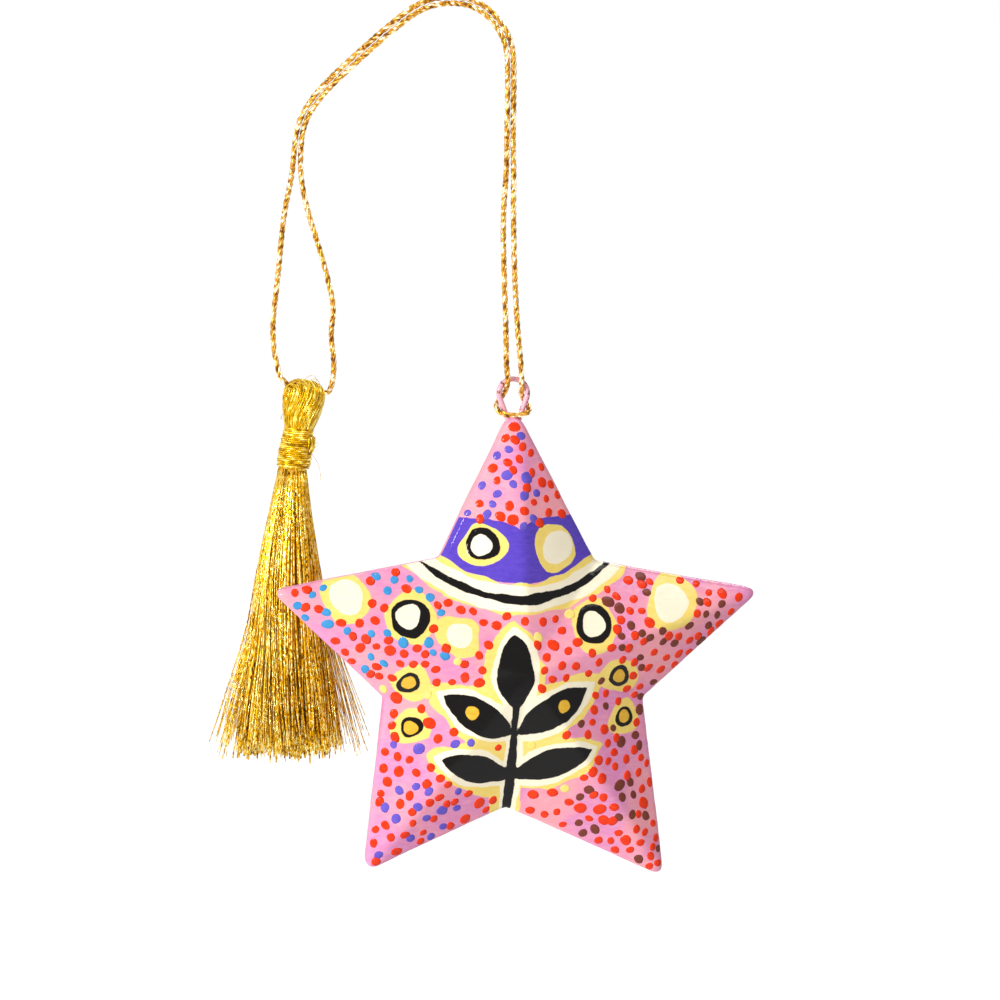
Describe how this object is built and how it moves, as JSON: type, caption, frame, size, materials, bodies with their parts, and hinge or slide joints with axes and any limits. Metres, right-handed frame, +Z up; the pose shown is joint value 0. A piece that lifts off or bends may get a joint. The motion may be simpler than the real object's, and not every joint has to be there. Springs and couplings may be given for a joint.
{
  "type": "hanging star ornament",
  "caption": "Hollow faceted five-pointed star of lacquered paper pulp, hung by a wire eye from a doubled metallic cord that ends in a thread tassel.",
  "frame": {"origin": "hanging point: the underside of the crown of the doubled cord, where it lies over whatever holds the ornament up", "axes": "+Z up against gravity, the painted front of the star faces -Y, and +X runs from the tassel towards the star's right-hand tip"},
  "size_m": [0.082, 0.0327, 0.1402],
  "materials": {
    "painted_pulp": "gloss",
    "seam_glue": "matte",
    "pulp_plug": "matte",
    "eye_wire": "satin",
    "gold_cord": "satin",
    "gold_thread": "satin"
  },
  "bodies": {
    "hanger": {"hanger_cord": "gold_cord"},
    "star_line": {"star_cord_upper": "gold_cord"},
    "star_drop": {"star_cord_lower": "gold_cord"},
    "star": {"front_shell": "painted_pulp", "back_shell": "painted_pulp", "seam_glue": "seam_glue", "wire_eye": "eye_wire", "eye_plug": "pulp_plug", "eye_hitch": "gold_cord"},
    "tassel_line": {"tassel_cord": "gold_cord"},
    "tassel": {"tassel_head": "gold_thread", "cord_pass": "gold_cord", "cord_knot": "gold_cord", "neck_wrap": "gold_thread", "tassel_skirt": "gold_thread"}
  },
  "joints": [
    {"name": "star_swing", "type": "hinge", "parent": "hanger", "child": "star_line", "pos_m": [0.0095, 0, -0.02], "axis": [0, -1, 0], "range_deg": [-10, 25]},
    {"name": "star_twist", "type": "hinge", "parent": "star_line", "child": "star_drop", "pos_m": [0.0094, -0.00045, -0.0368], "axis": [0, 0, -1], "range_deg": [-75, 12]},
    {"name": "star_nod", "type": "hinge", "parent": "star_drop", "child": "star", "pos_m": [0.0101, 0, -0.05815], "axis": [-1, 0, 0], "range_deg": [-8, 25]},
    {"name": "tassel_swing", "type": "hinge", "parent": "hanger", "child": "tassel_line", "pos_m": [-0.0219, 0.016, -0.02245], "axis": [0, -1, 0], "range_deg": [-20, 5]},
    {"name": "tassel_tilt", "type": "hinge", "parent": "tassel_line", "child": "tassel", "pos_m": [-0.02085, 0.016, -0.06017], "axis": [-0.9691, 0, 0.2465], "range_deg": [-25, 6]}
  ]
}
